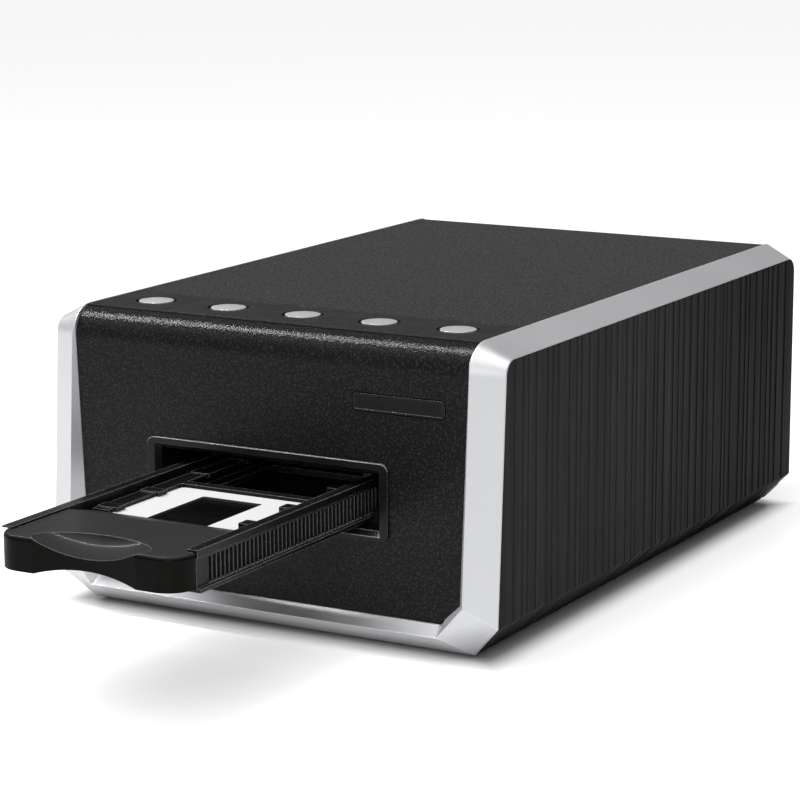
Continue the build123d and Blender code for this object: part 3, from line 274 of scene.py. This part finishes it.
def silver_paint(name, colour, rough, metallic):
    """Silver paint: metal flakes, orange peel and a near-white painted highlight along the edges.
    """
    shader = Shader(name)
    flakes = shader.cells(0.14 * MM)
    cloud = shader.noise(30 * MM, 3.0)
    body = shader.blend(cloud, scaled(colour, 0.95), scaled(colour, 1.04))
    sparkle = shader.spread(flakes, 0.0, 0.35, 0.15, 0.8)
    body = shader.blend(sparkle, body, scaled(colour, 1.25))
    # Painted highlight: the silver's edges are lightened to near white.
    edge_lightening = shader.math("MULTIPLY", shader.edges(0.30 * MM, 7.0), 0.8)
    shader.set("Base Color", shader.blend(edge_lightening, body, SILVER_EDGE_HIGHLIGHT))
    peel = shader.noise(1.4 * MM, 2.0)
    shader.set("Roughness", shader.spread(cloud, rough - 0.05, rough + 0.05, 0.3, 0.7))
    shader.set("Metallic", metallic)
    shader.set("Specular IOR Level", 0.4)
    shader.bump([(peel, 0.010 * MM), (flakes, 0.005 * MM)], 0.40 * MM)
    return shader.material


def leather_grain(name, colour):
    """Black plastic with a pebbled, leather-like grain, rubbed smoother where it slopes."""
    shader = Shader(name)
    warped = shader.warped(2.6 * MM, 0.9 * MM)
    pebbles = shader.cells(0.85 * MM, "SMOOTH_F1", warped)
    pores = shader.cells(0.36 * MM, "F1", warped)
    folds = shader.noise(4.5 * MM, 3.0, 0.6)
    cloud = shader.noise(35 * MM, 3.0)
    body = shader.blend(cloud, scaled(colour, 0.8), scaled(colour, 1.3))
    tips = shader.spread(pebbles, 0.6, 0.0, 0.05, 0.42)
    body = shader.blend(tips, body, scaled(colour, 7.5))
    edge_lightening = shader.math("MULTIPLY", shader.edges(0.3 * MM), 0.35)
    shader.set("Base Color", shader.blend(edge_lightening, body, RUBBED_LEATHER))
    off_slope = shader.math("ABSOLUTE", shader.math("SUBTRACT", shader.lift(), RUBBED_LIFT))
    rubbed = shader.spread(off_slope, 1.0, 0.0, 0.08, 0.22)
    rough = shader.spread(pebbles, 0.20, 0.38, 0.1, 0.7)
    shader.set("Roughness", shader.math("SUBTRACT", rough, shader.math("MULTIPLY", rubbed, 0.13)))
    shader.set("Specular IOR Level", 0.12)
    height = shader.math("MULTIPLY", pebbles, -1.0)
    pit = shader.math("MULTIPLY", pores, -1.0)
    shader.bump([(folds, 0.06 * MM), (height, 0.065 * MM), (pit, 0.030 * MM)], 0.3 * MM)
    return shader.material


def pleated(name, colour):
    """The black pleated side: fine uneven lines that run down it, painted highlights along its
    pleat edges, and painted shade that darkens it towards the back.
    """
    shader = Shader(name)
    lines = shader.noise(1.9 * MM, 3.0, 0.65, shader.stretch(0.02, 1.0, 0.02))
    folds = shader.noise(8.0 * MM, 2.0, 0.5, shader.stretch(0.05, 1.0, 0.03))
    patches = shader.noise(30 * MM, 3.0, 0.6, shader.stretch(1.0, 1.0, 0.35))
    dust = shader.noise(0.5 * MM, 3.0)
    body = shader.blend(folds, scaled(colour, 0.7), scaled(colour, 1.5))
    # Painted shade: 1 at the front, falling to 0 at the back, where less light reaches the side.
    painted_light_share = shader.spread(shader.axis(shader.place, "Y"), 1.0, 0.0, *SIDE_PAINTED_SHADE_SPAN)
    body = shader.blend(painted_light_share, scaled(colour, SIDE_PAINTED_SHADE_FACTOR), body)
    # Painted highlight: the pleat edges are lightened in patches, and less towards the back.
    lit = shader.math("MULTIPLY", shader.edges(0.18 * MM, 9.0),
                      shader.spread(patches, 0.15, 0.9, 0.35, 0.65))
    lit = shader.math("MULTIPLY", lit, shader.spread(painted_light_share, 0.45, 1.0))
    shader.set("Base Color", shader.blend(lit, body, PLEAT_RIDGE_HIGHLIGHT))
    shader.set("Roughness", shader.spread(lines, 0.42, 0.6, 0.3, 0.7))
    shader.set("Specular IOR Level", 0.03)
    shader.bump([(folds, 0.30 * MM), (lines, 0.10 * MM), (dust, 0.008 * MM)], 0.12 * MM)
    return shader.material


def plated(name, colour, rough, metallic=1.0):
    """Plated or ground metal with fine brushing and dulled patches."""
    shader = Shader(name)
    brushed = shader.noise(0.5 * MM, 3.0, 0.6, shader.stretch(1.0, 0.08, 1.0))
    patches = shader.noise(9 * MM, 4.0)
    body = shader.blend(patches, scaled(colour, 0.85), scaled(colour, 1.1))
    edge_lightening = shader.math("MULTIPLY", shader.edges(0.2 * MM), 0.5)
    shader.set("Base Color", shader.blend(edge_lightening, body, scaled(colour, 1.3)))
    shader.set("Metallic", metallic)
    shader.set("Roughness", shader.spread(brushed, rough - 0.08, rough + 0.1, 0.3, 0.7))
    shader.bump([(brushed, 0.006 * MM)], 0.2 * MM)
    return shader.material


def paper_card(name, colour):
    """The slide mount: matt white with a faint fibre, and dark on its sides."""
    shader = Shader(name)
    fibre = shader.noise(0.6 * MM, 5.0, 0.7)
    cloud = shader.noise(12 * MM, 3.0)
    body = shader.blend(cloud, scaled(colour, 0.97), scaled(colour, 1.03))
    upright = shader.spread(shader.math("ABSOLUTE", shader.lift()), 1.0, 0.0, 0.2, 0.7)
    edge_lightening = shader.math("MULTIPLY", shader.edges(0.3 * MM), 0.3)
    body = shader.blend(edge_lightening, body, CHIPPED_CARD)
    shader.set("Base Color", shader.blend(upright, body, CARD_SIDE))
    shader.set("Roughness", shader.spread(fibre, 0.6, 0.75, 0.3, 0.7))
    shader.bump([(fibre, 0.012 * MM)], 0.2 * MM)
    return shader.material


def film_strip(name, clear, dense):
    """Developed film: dark, glossy and slightly uneven."""
    shader = Shader(name)
    cloud = shader.noise(8 * MM, 4.0)
    shader.set("Base Color", shader.blend(cloud, dense, clear))
    ripple = shader.noise(14 * MM, 2.0)
    shader.set("Roughness", shader.spread(cloud, 0.12, 0.22))
    shader.set("Specular IOR Level", 0.06)
    shader.bump([(ripple, 0.2 * MM)])
    return shader.material


def circuit_board(name, mask, track, shade):
    """Solder mask with faint copper tracks under it."""
    shader = Shader(name)
    tracks = shader.cells(4.0 * MM, "DISTANCE_TO_EDGE", None, 0.25)
    lanes = shader.math("LESS_THAN", tracks, 0.05)
    body = shader.blend(shader.math("MULTIPLY", lanes, 0.7), mask, track)
    cloud = shader.noise(15 * MM, 3.0)
    shader.set("Base Color", shader.blend(shader.math("MULTIPLY", cloud, 0.25), body, shade))
    shader.set("Roughness", shader.spread(cloud, 0.25, 0.4))
    shader.bump([(lanes, 0.02 * MM)], 0.2 * MM)
    return shader.material


def clear_glass(name, tint, rough):
    """Coated lens glass."""
    shader = Shader(name)
    dust = shader.noise(3 * MM, 4.0)
    shader.set("Base Color", shader.blend(dust, scaled(tint, 0.93), tint))
    shader.set("Transmission Weight", 1.0)
    shader.set("IOR", 1.52)
    shader.set("Roughness", shader.spread(dust, rough, rough + 0.05))
    shader.bump([(dust, 0.004 * MM)])
    return shader.material


FINISHES = {
    # the outside
    "silver": partial(silver_paint, colour=(0.47, 0.474, 0.487), rough=0.37, metallic=0.58),
    "button_silver": partial(silver_paint, colour=(0.36, 0.365, 0.375), rough=0.36, metallic=0.4),
    "grained_black": partial(leather_grain, colour=(0.0050, 0.0050, 0.0055)),
    "ribbed_black": partial(pleated, colour=(0.0105, 0.0105, 0.0112)),
    "case_black": partial(moulded, colour=(0.010, 0.010, 0.011), rough=0.55, depth=0.02 * MM),
    # Bezel, name plate and button strip: painted highlights along their edges, far lighter than
    # rubbing; on the bezel mostly on edges that face up.
    "bezel_black": partial(moulded, colour=(0.0060, 0.0060, 0.0068), rough=0.26, edge=0.5 * MM,
                           wear_and_glint=0.95, wear_and_glint_gain=150.0, upward_glint=0.97),
    "plate_dark": partial(moulded, colour=(0.0055, 0.0055, 0.0062), rough=0.28,
                          wear_and_glint=0.9, wear_and_glint_gain=30.0, upward_glint=0.7),
    "strip_dark": partial(moulded, colour=(0.0036, 0.0036, 0.0042), rough=0.36, depth=0.004 * MM,
                          wear_and_glint=0.9, wear_and_glint_gain=14.0),
    "rubber": partial(moulded, colour=(0.018, 0.018, 0.018), rough=0.8, depth=0.03 * MM, wear_and_glint=0.2),
    # the film holder
    # Painted highlights along the holder's edges.
    "holder_black": partial(moulded, colour=(0.0050, 0.0050, 0.0056), rough=0.28,
                            wear_and_glint=0.95, wear_and_glint_gain=80.0, upward_glint=0.5),
    # The handle: painted highlights along its edges, and its tops painted lighter as painted
    # light.
    "handle_olive": partial(moulded, colour=(0.0018, 0.0018, 0.0014), rough=0.42, edge=0.4 * MM,
                            wear_and_glint=0.95, wear_and_glint_gain=170.0, upward_glint=0.98, specular=0.03, coat=0.06,
                            dust=0.023),
    "mount_white": partial(paper_card, colour=(0.46, 0.46, 0.455)),
    "film": partial(film_strip, clear=(0.0035, 0.0032, 0.003), dense=(0.0015, 0.0015, 0.0015)),
    # plastics inside
    "rail_black": partial(moulded, colour=(0.010, 0.010, 0.011), rough=0.5),
    "switch_black": partial(moulded, colour=(0.020, 0.020, 0.021), rough=0.45),
    "gear_white": partial(moulded, colour=(0.62, 0.61, 0.57), rough=0.42),
    "led_white": partial(moulded, colour=(0.72, 0.68, 0.42), rough=0.35),
    "diffuser_white": partial(moulded, colour=(0.74, 0.74, 0.74), rough=0.5),
    "sensor_ceramic": partial(moulded, colour=(0.06, 0.055, 0.07), rough=0.6),
    "magnet_black": partial(moulded, colour=(0.03, 0.03, 0.03), rough=0.6),
    "circuit_board": partial(circuit_board, mask=(0.012, 0.085, 0.03), track=(0.03, 0.16, 0.06),
                             shade=(0.006, 0.05, 0.02)),
    # metals and glass inside
    "sheet_steel": partial(plated, colour=(0.52, 0.53, 0.54), rough=0.34),
    "screw_steel": partial(plated, colour=(0.42, 0.42, 0.43), rough=0.32),
    "axle_steel": partial(plated, colour=(0.55, 0.55, 0.56), rough=0.22),
    "motor_can": partial(plated, colour=(0.38, 0.38, 0.39), rough=0.36),
    "pinion_brass": partial(plated, colour=(0.70, 0.52, 0.22), rough=0.28),
    "socket_metal": partial(plated, colour=(0.55, 0.55, 0.56), rough=0.28),
    "lens_black": partial(plated, colour=(0.03, 0.03, 0.032), rough=0.35, metallic=0.6),
    "mirror": partial(plated, colour=(0.85, 0.86, 0.87), rough=0.06),
    "lens_glass": partial(clear_glass, tint=(0.86, 0.90, 0.96), rough=0.03),
}


def dress_frame():
    """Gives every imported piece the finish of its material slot."""
    made = {}
    for row in frame["record"]["subparts"]:
        slot = row["material_slot"]
        if slot not in made:
            made[slot] = FINISHES[slot](slot)
        for place in frame["nodes"][row["node"]].material_slots:
            place.material = made[slot]


# ---------------------------------------------------------------- stage and light
FLOOR_HALF = 30.0
FLOOR_GLOW = 0.47
# The case's front face; the holder stands out in front of it.
BODY_FRONT = -0.078
# From this far inside the case's outline to this far outside it, the floor's glow fades in.
CONTACT_SHADE = (-0.008, 0.003)
# The world lights the object less than it shows behind it.
WORLD_STRENGTH = 0.23
BACKDROP_STRENGTH = 1.0
SUN_DIRECTION = (-0.12, 0.25, -1.0)
SUN_STRENGTH = 2.4
SUN_SPREAD_DEGREES = 70
# Each softbox: place, what it points at, width and height in metres, power in watts.
SOFTBOXES = {
    "overhead_strip": ((-0.47, -0.12, 0.86), (0.0, -0.01, 0.10), 1.1, 0.03, 12.0),
    "front_fill": ((0.55, -1.40, 0.60), (0.0, -0.05, 0.05), 0.9, 0.7, 6.0),
}


def outside(shader, letter, low, high):
    """How far a point lies outside a range along one axis; negative inside it."""
    off_middle = shader.math("SUBTRACT", shader.axis(shader.place, letter), (low + high) / 2)
    return shader.math("SUBTRACT", shader.math("ABSOLUTE", off_middle), (high - low) / 2)


def add_floor():
    """A plain pale floor with a faint sheen, shaded where the case stands on it."""
    mesh = bpy.data.meshes.new("floor")
    corners = [(-FLOOR_HALF, -FLOOR_HALF, 0), (FLOOR_HALF, -FLOOR_HALF, 0),
               (FLOOR_HALF, FLOOR_HALF, 0), (-FLOOR_HALF, FLOOR_HALF, 0)]
    mesh.from_pydata(corners, [], [(0, 1, 2, 3)])
    floor = bpy.data.objects.new("floor", mesh)
    bpy.context.scene.collection.objects.link(floor)
    shader = Shader("floor")
    haze = shader.noise(0.5, 2.0)
    shader.set("Base Color", shader.blend(haze, (0.69, 0.69, 0.69), (0.71, 0.71, 0.71)))
    shader.set("Roughness", 0.16)
    shader.set("Specular IOR Level", 0.12)
    shader.set("Emission Color", (1.0, 1.0, 1.0, 1.0))
    past = shader.math("MAXIMUM", outside(shader, "X", cad_low[0], cad_high[0]),
                       outside(shader, "Y", BODY_FRONT, cad_high[1]))
    shader.set("Emission Strength", shader.spread(past, 0.0, FLOOR_GLOW, *CONTACT_SHADE))
    mesh.materials.append(shader.material)


def aim(direction):
    """Rotation that points a light along a direction, with its width along x."""
    away = -Vector(direction).normalized()
    across = Vector((1.0, 0.0, 0.0))
    across = (across - away * across.dot(away)).normalized()
    return Matrix((across, away.cross(across), away)).transposed().to_quaternion()


def add_light(data, direction, place=(0.0, 0.0, 0.0)):
    """Hangs a light at a place, pointing along a direction."""
    light = bpy.data.objects.new(data.name, data)
    light.location = place
    light.rotation_mode = "QUATERNION"
    light.rotation_quaternion = aim(direction)
    bpy.context.scene.collection.objects.link(light)


def add_sun():
    """A very wide sun: even, soft light over the whole floor."""
    data = bpy.data.lights.new("top_light", "SUN")
    data.energy = SUN_STRENGTH
    data.angle = math.radians(SUN_SPREAD_DEGREES)
    add_light(data, SUN_DIRECTION)


def add_softbox(name, place, target, width, height, power):
    """A rectangular studio light."""
    data = bpy.data.lights.new(name, "AREA")
    data.shape = "RECTANGLE"
    data.size = width
    data.size_y = height
    data.energy = power
    add_light(data, Vector(target) - Vector(place), place)


def add_world():
    """Soft light from all round, with a white backdrop."""
    world = bpy.data.worlds.new("studio")
    world.use_nodes = True
    background = world.node_tree.nodes["Background"]
    background.inputs["Color"].default_value = (1.0, 1.0, 1.0, 1.0)
    rays = world.node_tree.nodes.new("ShaderNodeLightPath")
    level = world.node_tree.nodes.new("ShaderNodeMapRange")
    level.inputs["To Min"].default_value = WORLD_STRENGTH
    level.inputs["To Max"].default_value = BACKDROP_STRENGTH
    world.node_tree.links.new(rays.outputs["Is Camera Ray"], level.inputs["Value"])
    world.node_tree.links.new(level.outputs["Result"], background.inputs["Strength"])
    bpy.context.scene.world = world
    bpy.context.scene.view_settings.view_transform = "Standard"


add_camera()
dress_frame()
add_floor()
add_world()
add_sun()
for name, settings in SOFTBOXES.items():
    add_softbox(name, *settings)

bpy.context.view_layer.update()
